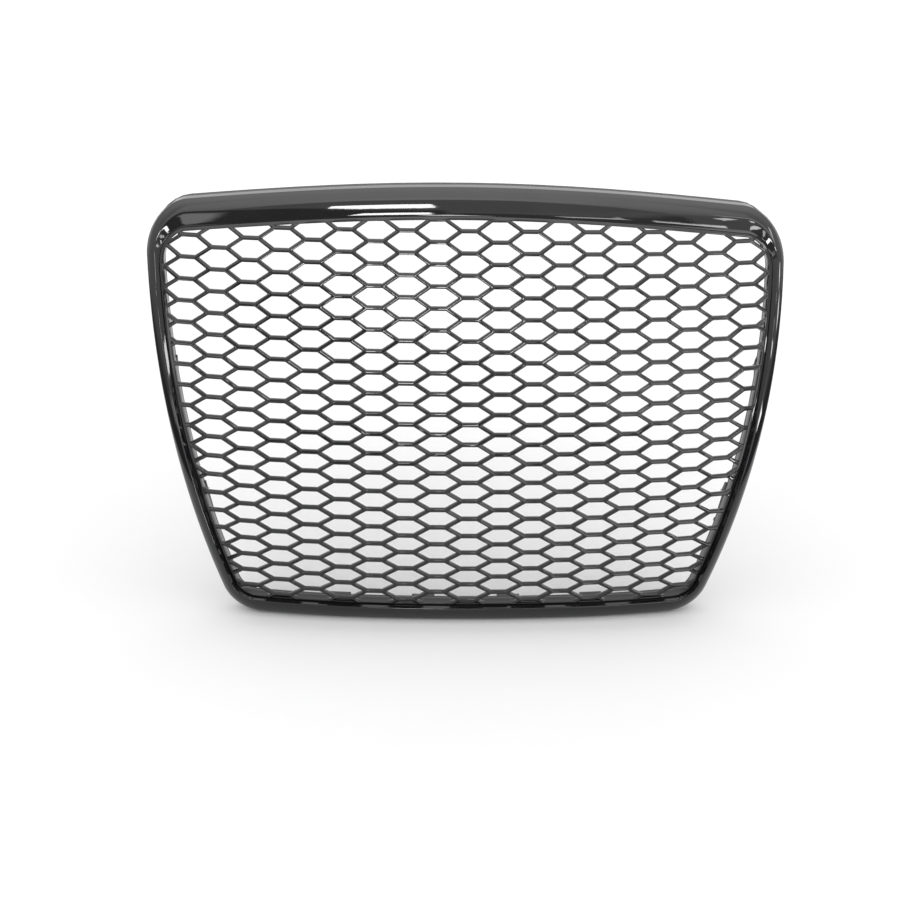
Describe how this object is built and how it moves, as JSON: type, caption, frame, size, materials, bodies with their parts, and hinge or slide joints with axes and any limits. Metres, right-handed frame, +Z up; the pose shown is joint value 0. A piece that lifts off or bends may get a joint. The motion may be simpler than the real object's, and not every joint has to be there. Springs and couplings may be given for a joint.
{
  "type": "front grille",
  "caption": "Gloss black front grille: a rounded surround frame around a curved honeycomb insert, with a rear carrier, top brackets, side clips, bottom hooks and locating pins.",
  "frame": {"origin": "middle of the row of four top fixing holes, on the upper face of their brackets", "axes": "+Z up, +X to the right of someone facing the grille's front, +Y backwards into the car; the face looks along -Y"},
  "size_m": [0.665, 0.2703, 0.4115],
  "materials": {
    "gloss_surround": "high gloss, moulded black",
    "gloss_mesh": "high gloss, moulded black",
    "carrier_plastic": "fine-grained black",
    "foam_seal": "closed-cell foam",
    "bracket_steel": "zinc-plated sheet",
    "clip_plastic": "as-moulded black",
    "spring_steel": "bare spring steel",
    "screw_steel": "zinc-plated",
    "washer_steel": "zinc-plated",
    "rubber_pad": "matt"
  },
  "bodies": {
    "root": {"surround_frame": "gloss_surround", "honeycomb_insert": "gloss_mesh", "rear_carrier": "carrier_plastic", "top_seal": "foam_seal", "top_bracket_left_outer": "bracket_steel", "top_bracket_left_inner": "bracket_steel", "top_bracket_right_inner": "bracket_steel", "top_bracket_right_outer": "bracket_steel", "side_clip_left_upper": "clip_plastic", "side_clip_left_lower": "clip_plastic", "side_clip_right_upper": "clip_plastic", "side_clip_right_lower": "clip_plastic", "bottom_hook_left_outer": "clip_plastic", "bottom_hook_left_inner": "clip_plastic", "bottom_hook_right_inner": "clip_plastic", "bottom_hook_right_outer": "clip_plastic", "locating_pin_left": "clip_plastic", "locating_pin_right": "clip_plastic", "spring_clips": "spring_steel", "carrier_screws": "screw_steel", "carrier_washers": "washer_steel", "bracket_screws": "screw_steel", "clip_screws": "screw_steel", "anti_rattle_pads": "rubber_pad"}
  },
  "joints": []
}
